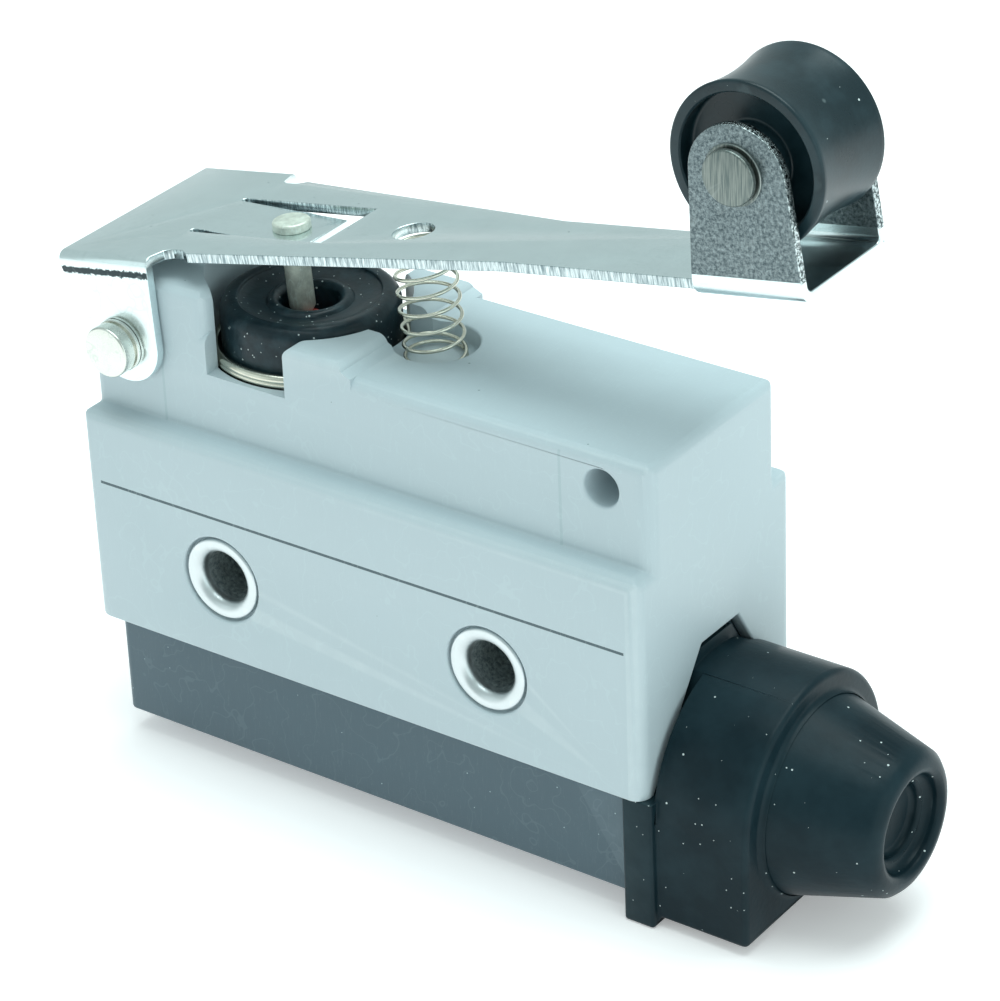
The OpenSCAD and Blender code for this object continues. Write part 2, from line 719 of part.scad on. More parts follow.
module terminal_washers() {
    color([0.76, 0.77, 0.75]) for (y = [-lane_y, 0, lane_y])
        translate([screw_x, y, shelf_top_z + strip_t]) difference() {
            cylinder(r = screw_head_r, h = 0.4);
            translate([0, 0, -over]) cylinder(r = screw_r, h = 2);
        }
}

// ---- Terminal cover ----

// Arch outline: straight sides and a round top, grown by "wall"
module cover_arch(wall) {
    arch_z = -8.9;
    arch_r = 8.2 + wall;
    intersection() {
        translate([0, arch_z]) circle(arch_r);
        translate([-arch_r, arch_z]) square([2 * arch_r, arch_r]);
    }
    translate([-arch_r, -15.9 - wall]) square([2 * arch_r, arch_z + 15.9 + wall]);
}

module cover_collar() {
    half = 10.3;
    bottom_z = -18.1;
    difference() {
        block(collar_x0, arch_x0 + 0.2, -half, half, bottom_z, skirt_bottom_z - 0.05);
        block(collar_x0 - over, base_x1 + 0.1, -base_half - 0.05, base_half + 0.05, base_bottom_z - 0.05, 0);
        along_x(base_x1, arch_x0 + over) cover_arch(0);
    }
}

module cover_flange() {
    inset = 0.7;
    back_x = cavity_x1 + 0.05;
    low_z = skirt_bottom_z + 0.05;
    difference() {
        along_x(back_x, arch_x0 + 0.2) difference() {
            polygon([[-cutout_half_low + inset, low_z], [cutout_half_low - inset, low_z],
                     [cutout_shift_y + cutout_half_high - 0.35, cutout_top_z - inset],
                     [cutout_shift_y - cutout_half_high + 0.35, cutout_top_z - inset]]);
            cover_arch(0);
        }
        difference() {
            block(back_x + 0.75, cover_end_x, -skirt_half, skirt_half, low_z, cutout_top_z + over);
            along_x(back_x, cover_end_x + over) cover_arch(cover_wall);
        }
    }
}

module terminal_cover() {
    cone_r0 = 7.9;
    cone_r1 = 5.6;
    tip = outlet_tip_x - cover_end_x;
    color([0.10, 0.13, 0.15]) {
        cover_collar();
        cover_flange();
        difference() {
            union() {
                along_x(arch_x0, cover_end_x) cover_arch(cover_wall);
                translate([cover_end_x, 0, outlet_z]) rotate([0, 90, 0]) rotate_extrude() polygon([
                    [0, -1], [cone_r0, -1], [cone_r0, 0.2], [cone_r1 + 0.2, tip - 0.8],
                    [cone_r1 - 0.55, tip], [4, tip], [3.8, tip - 1.2], [2.9, tip - 1.3],
                    [2.9, tip - 2], [0, tip - 2]]);
            }
            along_x(cable_end_x - 1, cover_end_x - cover_wall) cover_arch(0);
            translate([cover_end_x, 0, outlet_z]) rotate([0, 90, 0]) rotate_extrude() polygon([
                [0, -3], [6.4, -3], [6.4, 0], [4.4, tip - 2.8], [0, tip - 2.8]]);
        }
    }
}

housing();
base();
base_gasket();
mounting_ferrules();
seal_boot();
seal_ring();
pivot_pin();
lever_plate();
plunger_pin();
return_spring();
roller();
roller_axle();
plunger_guide();
inner_plunger();
contact_block();
moving_blade();
snap_leaf();
moving_contact();
nc_contact();
no_contact();
nc_terminal();
no_terminal();
common_terminal();
blade_rivet();
terminal_screws();
terminal_washers();
terminal_cover();
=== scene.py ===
import json
import math

import bmesh
import bpy
from bpy.props import FloatProperty, FloatVectorProperty, IntProperty, PointerProperty
from mathutils import Matrix, Vector


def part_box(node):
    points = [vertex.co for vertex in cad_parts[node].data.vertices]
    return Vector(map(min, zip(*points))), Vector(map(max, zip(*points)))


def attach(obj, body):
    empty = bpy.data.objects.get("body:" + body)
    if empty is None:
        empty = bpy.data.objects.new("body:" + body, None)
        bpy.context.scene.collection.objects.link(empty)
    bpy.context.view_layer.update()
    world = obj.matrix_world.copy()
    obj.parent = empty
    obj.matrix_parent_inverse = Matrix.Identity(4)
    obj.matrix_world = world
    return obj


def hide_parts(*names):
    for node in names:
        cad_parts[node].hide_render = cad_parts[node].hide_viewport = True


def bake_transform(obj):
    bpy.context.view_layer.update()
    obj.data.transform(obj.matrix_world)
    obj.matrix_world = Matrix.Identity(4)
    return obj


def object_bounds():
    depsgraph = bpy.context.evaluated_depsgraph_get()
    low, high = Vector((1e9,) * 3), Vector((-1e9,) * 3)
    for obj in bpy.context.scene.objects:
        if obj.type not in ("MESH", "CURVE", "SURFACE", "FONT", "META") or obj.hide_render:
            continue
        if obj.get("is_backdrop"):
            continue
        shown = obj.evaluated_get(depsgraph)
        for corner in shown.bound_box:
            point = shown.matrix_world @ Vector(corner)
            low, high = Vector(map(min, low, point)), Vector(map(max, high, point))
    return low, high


bl_info = {
    "name": "Limit switch with hinge lever",
    "version": (1, 0, 0),
    "blender": (4, 5, 0),
    "location": "3D View > Sidebar > Limit switch",
    "description": "Builds the visible pieces and finishes of an enclosed limit switch around its frame",
    "category": "Object",
}

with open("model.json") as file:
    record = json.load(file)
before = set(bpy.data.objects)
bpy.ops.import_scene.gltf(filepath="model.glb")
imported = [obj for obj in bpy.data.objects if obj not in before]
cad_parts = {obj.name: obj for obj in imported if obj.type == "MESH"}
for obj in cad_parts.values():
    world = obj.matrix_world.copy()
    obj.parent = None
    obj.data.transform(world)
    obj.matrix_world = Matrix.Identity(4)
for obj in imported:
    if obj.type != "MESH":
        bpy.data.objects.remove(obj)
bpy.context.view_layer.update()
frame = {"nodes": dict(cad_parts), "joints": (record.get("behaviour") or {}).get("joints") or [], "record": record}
NODES = frame["nodes"]
JOINTS = {joint["name"]: joint for joint in frame["joints"]}
PIVOT = Vector(JOINTS["lever_pivot"]["pos_m"])
AXLE = Vector(JOINTS["roller_spin"]["pos_m"])
MM = 0.001
ACROSS = Vector((0, 1, 0))
UP = Vector((0, 0, 1))
LEVER_SLOPE = math.radians(9.65)
TONGUE_SLOPE = math.radians(4.65)
SHARP_ANGLE = math.radians(36)
PINCHED_ANGLE = math.radians(40)


# ---- Values that a user would change ----

class SwitchSizes(bpy.types.PropertyGroup):
    shell_round: FloatProperty(name="Shell edges",
                               description="Rounding on the sharp edges of the moulded shells",
                               default=0.22 * MM, unit="LENGTH")
    cover_round: FloatProperty(name="Cover edges", description="Rounding on the edges of the rubber cover",
                               default=0.5 * MM, unit="LENGTH")
    sheet_round: FloatProperty(name="Sheet edges",
                               description="Rounding left on the sheet steel by the press",
                               default=0.08 * MM, unit="LENGTH")
    lathe_steps: IntProperty(name="Turning steps", description="Steps round a turned piece", default=96)
    spring_turns: FloatProperty(name="Spring turns", description="Turns of the return spring", default=8)
    ring_turns: FloatProperty(name="Ring turns", description="Turns of the wire ring round the seal",
                              default=2)


class SwitchColours(bpy.types.PropertyGroup):
    housing: FloatVectorProperty(name="Housing", description="Light grey moulding", subtype="COLOR",
                                 default=(0.478, 0.558, 0.592))
    base: FloatVectorProperty(name="Base", description="Slate grey moulding", subtype="COLOR",
                              default=(0.062, 0.104, 0.130))
    print_line: FloatVectorProperty(name="Printed line", description="Thin line printed on the front",
                                    subtype="COLOR", default=(0.065, 0.105, 0.120))
    rubber: FloatVectorProperty(name="Rubber", description="Seal and cover rubber", subtype="COLOR",
                                default=(0.004, 0.015, 0.021))
    roller: FloatVectorProperty(name="Roller", description="Black roller plastic", subtype="COLOR",
                                default=(0.007, 0.021, 0.027))
    nickel: FloatVectorProperty(name="Lever plating", description="Nickel on the lever", subtype="COLOR",
                                default=(0.79, 0.88, 0.89))
    pins: FloatVectorProperty(name="Pins", description="Turned pins and axle", subtype="COLOR",
                              default=(0.74, 0.75, 0.69))
    wire: FloatVectorProperty(name="Spring wire", description="Bright spring wire", subtype="COLOR",
                              default=(0.68, 0.66, 0.56))


class SwitchStage(bpy.types.PropertyGroup):
    azimuth: FloatProperty(name="Azimuth", description="Camera's turn round the switch from its front",
                           default=math.radians(36.70), subtype="ANGLE", unit="ROTATION")
    elevation: FloatProperty(name="Elevation", description="Camera's height above the horizon",
                             default=math.radians(29.05), subtype="ANGLE", unit="ROTATION")
    roll: FloatProperty(name="Roll", description="Camera's lean", default=math.radians(-2.47),
                        subtype="ANGLE", unit="ROTATION")
    distance: FloatProperty(name="Distance", description="Camera to the point that it looks at",
                            default=0.3105, unit="LENGTH")
    aim: FloatVectorProperty(name="Aim", description="Point that the camera looks at", subtype="TRANSLATION",
                             default=(6.9 * MM, 0, 7.86 * MM), unit="LENGTH")
    lens: FloatProperty(name="Lens", description="Focal length in millimetres", default=146.8)
    top_power: FloatProperty(name="Top light", description="Power of the softbox overhead", default=3.6)
    left_power: FloatProperty(name="Left light", description="Power of the softbox at the front left",
                              default=0.3)
    right_power: FloatProperty(name="Right light", description="Power of the softbox at the right",
                               default=0.64)
    floor_glow: FloatProperty(name="Floor glow", description="Light from under the pale floor", default=0.28)
    sky: FloatProperty(name="Room light", description="Strength of the pale room", default=0.6)


# ---- Modelling helpers ----

def activate(piece):
    """Makes a piece the only selected object, in object mode."""
    bpy.ops.object.select_all(action="DESELECT")
    piece.select_set(True)
    bpy.context.view_layer.objects.active = piece


def edit_all(piece):
    """Opens a piece in edit mode with everything selected."""
    activate(piece)
    bpy.ops.object.mode_set(mode="EDIT")
    bpy.ops.mesh.select_all(action="SELECT")


def end_edit():
    bpy.ops.object.mode_set(mode="OBJECT")


def smooth(piece, angle=32):
    activate(piece)
    bpy.ops.object.shade_smooth_by_angle(angle=math.radians(angle))


def hand_over(piece, body, slot, *nodes):
    """Gives a finished piece its finish, its body and the nodes that it stands for."""
    piece.data.materials.clear()
    piece.data.materials.append(finish_for(slot))
    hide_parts(*nodes)
    if body:
        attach(piece, body)


def is_pinched(edge, sharp):
    """True where another sharp edge leaves one end of this one at a narrow angle."""
    for vertex in edge.verts:
        way = edge.other_vert(vertex).co - vertex.co
        for other in vertex.link_edges:
            if other != edge and other in sharp:
                if way.angle(other.other_vert(vertex).co - vertex.co, math.pi) < PINCHED_ANGLE:
                    return True
    return False


def full_width(point):
    return 1.0


def round_edges(piece, width, segments=3, share=full_width):
    """Rounds the sharp edges of a piece with an applied bevel; share scales the width at a point."""
    shape = bmesh.new()
    shape.from_mesh(piece.data)
    weight = shape.edges.layers.float.new("bevel_weight_edge")
    sharp = {edge for edge in shape.edges if edge.calc_face_angle(0) > SHARP_ANGLE}
    for edge in sharp:
        if not is_pinched(edge, sharp):
            edge[weight] = share((edge.verts[0].co + edge.verts[1].co) / 2 / MM)
    shape.to_mesh(piece.data)
    shape.free()
    activate(piece)
    bevel = piece.modifiers.new("Edges", "BEVEL")
    bevel.width = width
    bevel.segments = segments
    bevel.limit_method = "WEIGHT"
    bevel.use_clamp_overlap = False
    bpy.ops.object.modifier_apply(modifier=bevel.name)


def worked_copy(node, name):
    """Copy of a node's mesh with its loose triangles joined and its flat faces made whole."""
    piece = bpy.data.objects.new(name, NODES[node].data.copy())
    bpy.context.scene.collection.objects.link(piece)
    edit_all(piece)
    bpy.ops.mesh.remove_doubles(threshold=2e-6)
    bpy.ops.mesh.dissolve_limited(angle_limit=math.radians(0.4))
    end_edit()
    if piece.data.has_custom_normals:
        bpy.ops.mesh.customdata_custom_splitnormals_clear()
    return piece


def arc(centre, radius, start, stop, steps=6):
    """Points of an arc in the profile's plane, with its angles in degrees."""
    turn = [math.radians(start + (stop - start) * i / steps) for i in range(steps + 1)]
    return [(centre[0] + radius * math.cos(a), centre[1] + radius * math.sin(a)) for a in turn]


def turned(name, profile, centre, axis):
    """Turns a closed profile of (radius, height) pairs in millimetres about an axis, as on a lathe."""
    bpy.ops.object.select_all(action="DESELECT")
    bpy.ops.mesh.primitive_circle_add(vertices=len(profile), radius=MM, fill_type="NOTHING")
    piece = bpy.context.object
    piece.name = name
    side = axis.orthogonal().normalized()
    for vertex, (radius, height) in zip(piece.data.vertices, profile):
        vertex.co = centre + (side * radius + axis * height) * MM
    edit_all(piece)
    steps = bpy.context.scene.switch_sizes.lathe_steps
    bpy.ops.mesh.spin(steps=steps, angle=2 * math.pi, center=centre, axis=axis)
    bpy.ops.mesh.select_all(action="SELECT")
    bpy.ops.mesh.remove_doubles(threshold=1e-7)
    bpy.ops.mesh.dissolve_degenerate(threshold=1e-7)
    bpy.ops.mesh.delete_loose()
    bpy.ops.mesh.select_all(action="SELECT")
    bpy.ops.mesh.normals_make_consistent(inside=False)
    end_edit()
    smooth(piece)
    return piece


def coil(name, wire_r, radius, turns, height, steps=40):
    """Round wire wound about Z from height 0, in millimetres, with its ends closed."""
    bpy.ops.object.select_all(action="DESELECT")
    bpy.ops.mesh.primitive_circle_add(vertices=14, radius=wire_r * MM, fill_type="NOTHING",
                                      location=(radius * MM, 0, 0), rotation=(math.pi / 2, 0, 0))
    piece = bpy.context.object
    piece.name = name
    bpy.ops.object.transform_apply(location=True, rotation=True, scale=True)
    screw = piece.modifiers.new("Winding", "SCREW")
    screw.angle = 2 * math.pi * turns
    screw.screw_offset = height * MM
    screw.steps = round(steps * turns)
    screw.render_steps = screw.steps
    screw.use_merge_vertices = False
    bpy.ops.object.modifier_apply(modifier=screw.name)
    edit_all(piece)
    bpy.ops.mesh.select_all(action="DESELECT")
    bpy.ops.mesh.select_non_manifold()
    bpy.ops.mesh.edge_face_add()
    bpy.ops.mesh.select_all(action="SELECT")
    bpy.ops.mesh.normals_make_consistent(inside=False)
    end_edit()
    return piece


def on_lever(u, n):
    """Point in the lever's middle plane, u along it from the pivot and n above the pivot, in millimetres."""
    along = Vector((math.cos(LEVER_SLOPE), 0, math.sin(LEVER_SLOPE)))
    above = Vector((-math.sin(LEVER_SLOPE), 0, math.cos(LEVER_SLOPE)))
    return PIVOT + (along * u + above * n) * MM


# ---- Material helpers ----

def add(tree, kind, inputs=None, **settings):
    """Adds a shader node with its settings; an input is a value or the socket that feeds it."""
    made = tree.nodes.new("ShaderNode" + kind)
    for key, value in settings.items():
        setattr(made, key, value)
    for key, value in (inputs or {}).items():
        if isinstance(value, bpy.types.NodeSocket):
            tree.links.new(value, made.inputs[key])
        else:
            made.inputs[key].default_value = value
    return made


def number(tree, operation, *values, clamp=False):
    """Math node: returns its output socket."""
    return add(tree, "Math", dict(enumerate(values)), operation=operation, use_clamp=clamp).outputs[0]


def blend_colour(tree, factor, under, over):
    """Colour that goes from under to over with the factor."""
    mix = add(tree, "Mix", {0: factor}, data_type="RGBA")
    for socket, value in ((mix.inputs[6], under), (mix.inputs[7], over)):
        if isinstance(value, bpy.types.NodeSocket):
            tree.links.new(value, socket)
        else:
            socket.default_value = (*value[:3], 1)
    return mix.outputs[2]


def object_point(tree):
    return add(tree, "TexCoord").outputs["Object"]


def new_group(name, inputs, outputs):
    """Empty node group with float inputs and outputs, and its two end nodes."""
    group = bpy.data.node_groups.new(name, "ShaderNodeTree")
    for label, value in inputs.items():
        socket = group.interface.new_socket(label, in_out="INPUT", socket_type="NodeSocketFloat")
        socket.default_value = value
    for label in outputs:
        group.interface.new_socket(label, in_out="OUTPUT", socket_type="NodeSocketFloat")
    return group, group.nodes.new("NodeGroupInput"), group.nodes.new("NodeGroupOutput")


def use_group(tree, name, **inputs):
    made = tree.nodes.new("ShaderNodeGroup")
    made.node_tree = bpy.data.node_groups[name]
    for key, value in inputs.items():
        made.inputs[key].default_value = value
    return made


def make_grain_group():
    """Fine moulded or blasted grain with a slow drift over the piece."""
    group, start, end = new_group("Grain", {"Scale": 4000, "Spread": 120}, ["Height", "Drift"])
    point = object_point(group)
    fine = add(group, "TexNoise", {"Vector": point, "Scale": start.outputs["Scale"], "Detail": 3})
    slow = add(group, "TexNoise",
               {"Vector": point, "Scale": start.outputs["Spread"], "Detail": 4, "Roughness": 0.6})
    group.links.new(fine.outputs[0], end.inputs["Height"])
    group.links.new(slow.outputs[0], end.inputs["Drift"])


def make_speck_group():
    """Scattered dust specks: only the cells whose random value passes the share get one."""
    group, start, end = new_group("Dust specks", {"Scale": 1900, "Share": 0.2, "Size": 0.17}, ["Mask"])
    cells = add(group, "TexVoronoi", {"Vector": object_point(group), "Scale": start.outputs["Scale"]})
    pick = add(group, "SeparateColor", {"Color": cells.outputs["Color"]})
    chosen = number(group, "LESS_THAN", pick.outputs[0], start.outputs["Share"])
    reach = number(group, "MULTIPLY", start.outputs["Size"], pick.outputs[1])
    near = number(group, "LESS_THAN", cells.outputs["Distance"], reach)
    group.links.new(number(group, "MULTIPLY", chosen, near), end.inputs["Mask"])


def make_scratch_group():
    """Thin scratches that run two ways and fade in and out."""
    group, start, end = new_group("Scratches", {"Scale": 260, "Amount": 0.5}, ["Mask"])
    point = object_point(group)
    gate = add(group, "TexNoise", {"Vector": point, "Scale": 90, "Detail": 2})
    lines = []
    for turn, stretch in (((0.5, 0.3, 0.4), (1, 14, 1)), ((-0.3, 0.9, -0.7), (12, 1, 1))):
        turned_point = add(group, "Mapping", {"Vector": point, "Rotation": turn, "Scale": stretch})
        noise = add(group, "TexNoise",
                    {"Vector": turned_point.outputs[0], "Scale": start.outputs["Scale"], "Detail": 2})
        offset = number(group, "ABSOLUTE", number(group, "SUBTRACT", noise.outputs[0], 0.5))
        lines.append(number(group, "LESS_THAN", offset, 0.006))
    both = number(group, "MAXIMUM", lines[0], lines[1])
    shown = number(group, "GREATER_THAN", gate.outputs[0],
                   number(group, "SUBTRACT", 0.75, start.outputs["Amount"]))
    group.links.new(number(group, "MULTIPLY", both, shown), end.inputs["Mask"])


def make_wear_group():
    """Outer edges, rubbed unevenly."""
    group, start, end = new_group("Edge wear", {"Start": 0.53, "Soft": 0.08}, ["Mask"])
    shape = add(group, "NewGeometry").outputs["Pointiness"]
    stop = number(group, "ADD", start.outputs["Start"], start.outputs["Soft"])
    edge = add(group, "MapRange", {"Value": shape, "From Min": start.outputs["Start"], "From Max": stop})
    uneven = add(group, "TexNoise", {"Vector": object_point(group), "Scale": 700, "Detail": 4})
    group.links.new(number(group, "MULTIPLY", edge.outputs[0], uneven.outputs[0]), end.inputs["Mask"])


def finish(name, colour, roughness, metallic=0.0, grain=4000, depth=0.004, drift=0.06, spread=120, specks=0.0,
           speck_colour=(0.55, 0.62, 0.62), scratches=0.0, scratch_colour=(0.4, 0.45, 0.45), wear=0.0,
           wear_colour=(0.8, 0.85, 0.85), specular=0.5, dust_and_sheen=0.0,
           dust_and_sheen_colour=(0.03, 0.062, 0.075), extra=None):
    """Material with grain, drift, dust, scratches and edge wear; extra paints what only this finish has."""
    material = bpy.data.materials.new(name)
    material.use_nodes = True
    tree = material.node_tree
    shader = tree.nodes["Principled BSDF"]
    shader.inputs["Metallic"].default_value = metallic
    shader.inputs["Specular IOR Level"].default_value = specular
    grains = use_group(tree, "Grain", Scale=grain, Spread=spread)
    height = grains.outputs["Height"]
    slow = grains.outputs["Drift"]
    dark = tuple(part * (1 - drift) for part in colour)
    light = tuple(min(1, part * (1 + drift)) for part in colour)
    paint = blend_colour(tree, slow, dark, light)
    gloss = add(tree, "MapRange", {"Value": slow, "From Min": 0.3, "From Max": 0.7,
                                   "To Min": roughness * 0.86, "To Max": roughness * 1.14}).outputs[0]
    # Paler grey-blue mottling laid in by the slow drift noise: partly a dust film, partly a painted sheen standing
    # in for soft reflections on the dark surface.
    if dust_and_sheen:
        cover = add(tree, "MapRange",
                    {"Value": slow, "From Min": 0.42, "From Max": 0.72, "To Max": dust_and_sheen}).outputs[0]
        paint = blend_colour(tree, cover, paint, dust_and_sheen_colour)
    if extra:
        paint, gloss, height = extra(tree, paint, gloss, height)
    if wear:
        mask = number(tree, "MULTIPLY", use_group(tree, "Edge wear").outputs["Mask"], wear)
        paint = blend_colour(tree, mask, paint, wear_colour)
    if scratches:
        mask = number(tree, "MULTIPLY", use_group(tree, "Scratches").outputs["Mask"], scratches)
        paint = blend_colour(tree, mask, paint, scratch_colour)
    if specks:
        mask = use_group(tree, "Dust specks", Share=specks).outputs["Mask"]
        paint = blend_colour(tree, mask, paint, speck_colour)
        gloss = number(tree, "MAXIMUM", gloss, number(tree, "MULTIPLY", mask, 0.8))
    bump = add(tree, "Bump", {"Height": height, "Distance": depth * MM, "Strength": 1.0})
    tree.links.new(paint, shader.inputs["Base Color"])
    tree.links.new(gloss, shader.inputs["Roughness"])
    tree.links.new(bump.outputs[0], shader.inputs["Normal"])
    return material


def within(tree, value, middle, reach):
    """1 where the value lies within reach of the middle, in millimetres."""
    return number(tree, "COMPARE", value, middle * MM, reach * MM)


# ---- Finishes ----

def paint_housing(tree, paint, gloss, height):
    """Printed line along the front, and a faint sink line at each end of the upper front."""
    place = add(tree, "SeparateXYZ", {"Vector": object_point(tree)})
    x, y, z = place.outputs
    on_front = within(tree, y, -10.45, 0.12)
    line = number(tree, "MULTIPLY", within(tree, z, 5.41, 0.12), within(tree, x, 0.45, 24.75))
    line = number(tree, "MULTIPLY", line, on_front)
    ink = add(tree, "TexNoise", {"Vector": object_point(tree), "Scale": 1500, "Detail": 3})
    line = number(tree, "MULTIPLY", line, number(tree, "GREATER_THAN", ink.outputs[0], 0.27))
    paint = blend_colour(tree, line, paint, bpy.context.scene.switch_colours.print_line)
    sink = number(tree, "MULTIPLY", within(tree, number(tree, "ABSOLUTE", x), 18.6, 0.12),
                  within(tree, y, -8.43, 0.1))
    paint = blend_colour(tree, number(tree, "MULTIPLY", sink, 0.35), paint, (0.30, 0.42, 0.44))
    return paint, gloss, height


def lever_place(tree):
    """The lever's own coordinates: along it, across it and above its pivot."""
    centred = add(tree, "Mapping", {"Vector": object_point(tree), "Location": -PIVOT})
    turned_point = add(tree, "Mapping", {"Vector": centred.outputs[0], "Rotation": (0, LEVER_SLOPE, 0)})
    return turned_point.outputs[0]


def paint_lever(tree, paint, gloss, height):
    """Striated sheared edges on the plate, mottled outer faces on the roller bracket, and a painted dark
    reflection band on each ear below its bend.
    """
    point = lever_place(tree)
    along, across, above = add(tree, "SeparateXYZ", {"Vector": point}).outputs
    facing = add(tree, "SeparateXYZ", {"Vector": add(tree, "NewGeometry").outputs["Normal"]})
    sideways = number(tree, "GREATER_THAN", number(tree, "ABSOLUTE", facing.outputs[1]), 0.55)
    out = number(tree, "ABSOLUTE", across)
    bracket = number(tree, "GREATER_THAN", along, 52 * MM)
    ear = number(tree, "MULTIPLY", number(tree, "LESS_THAN", along, 4.7 * MM),
                 number(tree, "GREATER_THAN", out, 8.2 * MM))
    plain = number(tree, "SUBTRACT", number(tree, "SUBTRACT", 1, bracket, clamp=True), ear, clamp=True)
    shear = number(tree, "MULTIPLY", number(tree, "MULTIPLY", sideways, within(tree, above, 6.91, 0.42)),
                   plain)
    lines = add(tree, "Mapping", {"Vector": point, "Scale": (8000, 900, 900)})
    streak = add(tree, "TexNoise", {"Vector": lines.outputs[0], "Scale": 1, "Detail": 3}).outputs[0]
    streak_tone = add(tree, "MapRange", {"Value": streak, "From Min": 0.35, "From Max": 0.65}).outputs[0]
    paint = blend_colour(tree, shear, paint,
                         blend_colour(tree, streak_tone, (0.22, 0.28, 0.30), (0.72, 0.80, 0.81)))
    grit = add(tree, "TexNoise", {"Vector": point, "Scale": 3600, "Detail": 6, "Roughness": 0.75}).outputs[0]
    grit_tone = add(tree, "MapRange", {"Value": grit, "From Min": 0.40, "From Max": 0.68}).outputs[0]
    flange = number(tree, "MULTIPLY", number(tree, "MULTIPLY", bracket, sideways),
                    number(tree, "GREATER_THAN", above, 8.35 * MM))
    flange_paint = blend_colour(tree, grit_tone, (0.075, 0.10, 0.11), (0.34, 0.40, 0.41))
    paint = blend_colour(tree, flange, paint, flange_paint)
    raw_edge = number(tree, "MULTIPLY",
                      number(tree, "MULTIPLY", bracket, number(tree, "SUBTRACT", 1, sideways)),
                      number(tree, "MULTIPLY", number(tree, "GREATER_THAN", above, 8.2 * MM),
                             number(tree, "GREATER_THAN", out, 4.7 * MM)))
    chips = add(tree, "MapRange", {"Value": grit, "From Min": 0.46, "From Max": 0.54}).outputs[0]
    paint = blend_colour(tree, raw_edge, paint,
                         blend_colour(tree, chips, (0.05, 0.07, 0.075), (0.66, 0.74, 0.75)))
    # Painted reflection: a dark band across each ear's side, just below its bend, stands in for the dark
    # reflection on the bent steel.
    ear_reflection_edge = number(tree, "ADD", above,
                       number(tree, "MULTIPLY", number(tree, "SUBTRACT", grit, 0.5), 0.9 * MM))
    ear_dark_reflection = number(tree, "MULTIPLY", number(tree, "MULTIPLY", ear, sideways),
                  within(tree, ear_reflection_edge, 5.95, 0.26))
    paint = blend_colour(tree, ear_dark_reflection, paint, (0.045, 0.06, 0.065))
    gloss = number(tree, "ADD", gloss, number(tree, "MULTIPLY", flange, 0.2))
    rough_cut = number(tree, "ADD", number(tree, "MULTIPLY", streak, shear),
                       number(tree, "MULTIPLY", chips, raw_edge))
    height = number(tree, "ADD", height, number(tree, "MULTIPLY", rough_cut, 2.5))
    return paint, gloss, height


def paint_bore_shade(tree, paint, gloss, height):
    """Speckled wall deep inside a bore, darker and duller than its polished mouths; the darkening is painted
    shade.
    """
    depth = number(tree, "ABSOLUTE", add(tree, "SeparateXYZ", {"Vector": object_point(tree)}).outputs[1])
    # The mask grows with depth into the bore: it darkens the colour as painted shade and raises the roughness.
    inside = add(tree, "MapRange", {"Value": depth, "From Min": 9.6 * MM, "From Max": 9.1 * MM}).outputs[0]
    grit = add(tree, "TexNoise",
               {"Vector": object_point(tree), "Scale": 3200, "Detail": 5, "Roughness": 0.7}).outputs[0]
    tone = add(tree, "MapRange", {"Value": grit, "From Min": 0.38, "From Max": 0.66}).outputs[0]
    paint = blend_colour(tree, inside, paint,
                         blend_colour(tree, tone, (0.20, 0.24, 0.25), (0.52, 0.58, 0.58)))
    return paint, number(tree, "ADD", gloss, number(tree, "MULTIPLY", inside, 0.3)), height


def paint_brushed(tree, paint, gloss, height):
    """Fine upright brush marks."""
    lines = add(tree, "Mapping", {"Vector": object_point(tree), "Scale": (9000, 9000, 500)})
    brush = add(tree, "TexNoise", {"Vector": lines.outputs[0], "Scale": 1, "Detail": 2}).outputs[0]
    tone = add(tree, "MapRange", {"Value": brush, "From Min": 0.35, "From Max": 0.65}).outputs[0]
    paint = blend_colour(tree, number(tree, "MULTIPLY", tone, 0.45), paint, (0.42, 0.44, 0.40))
    return paint, gloss, number(tree, "ADD", height, number(tree, "MULTIPLY", brush, 1.5))


def paint_roller(tree, paint, gloss, height):
    """Small pale gate mark on the tread."""
    mark = add(tree, "VectorMath", {0: object_point(tree), 1: AXLE + Vector((4.2, -0.4, 4.6)) * MM},
               operation="DISTANCE").outputs["Value"]
    dot = add(tree, "MapRange", {"Value": mark, "From Min": 0.35 * MM, "From Max": 0.15 * MM}).outputs[0]
    paint = blend_colour(tree, number(tree, "MULTIPLY", dot, 0.6), paint, (0.35, 0.44, 0.45))
    return paint, gloss, height


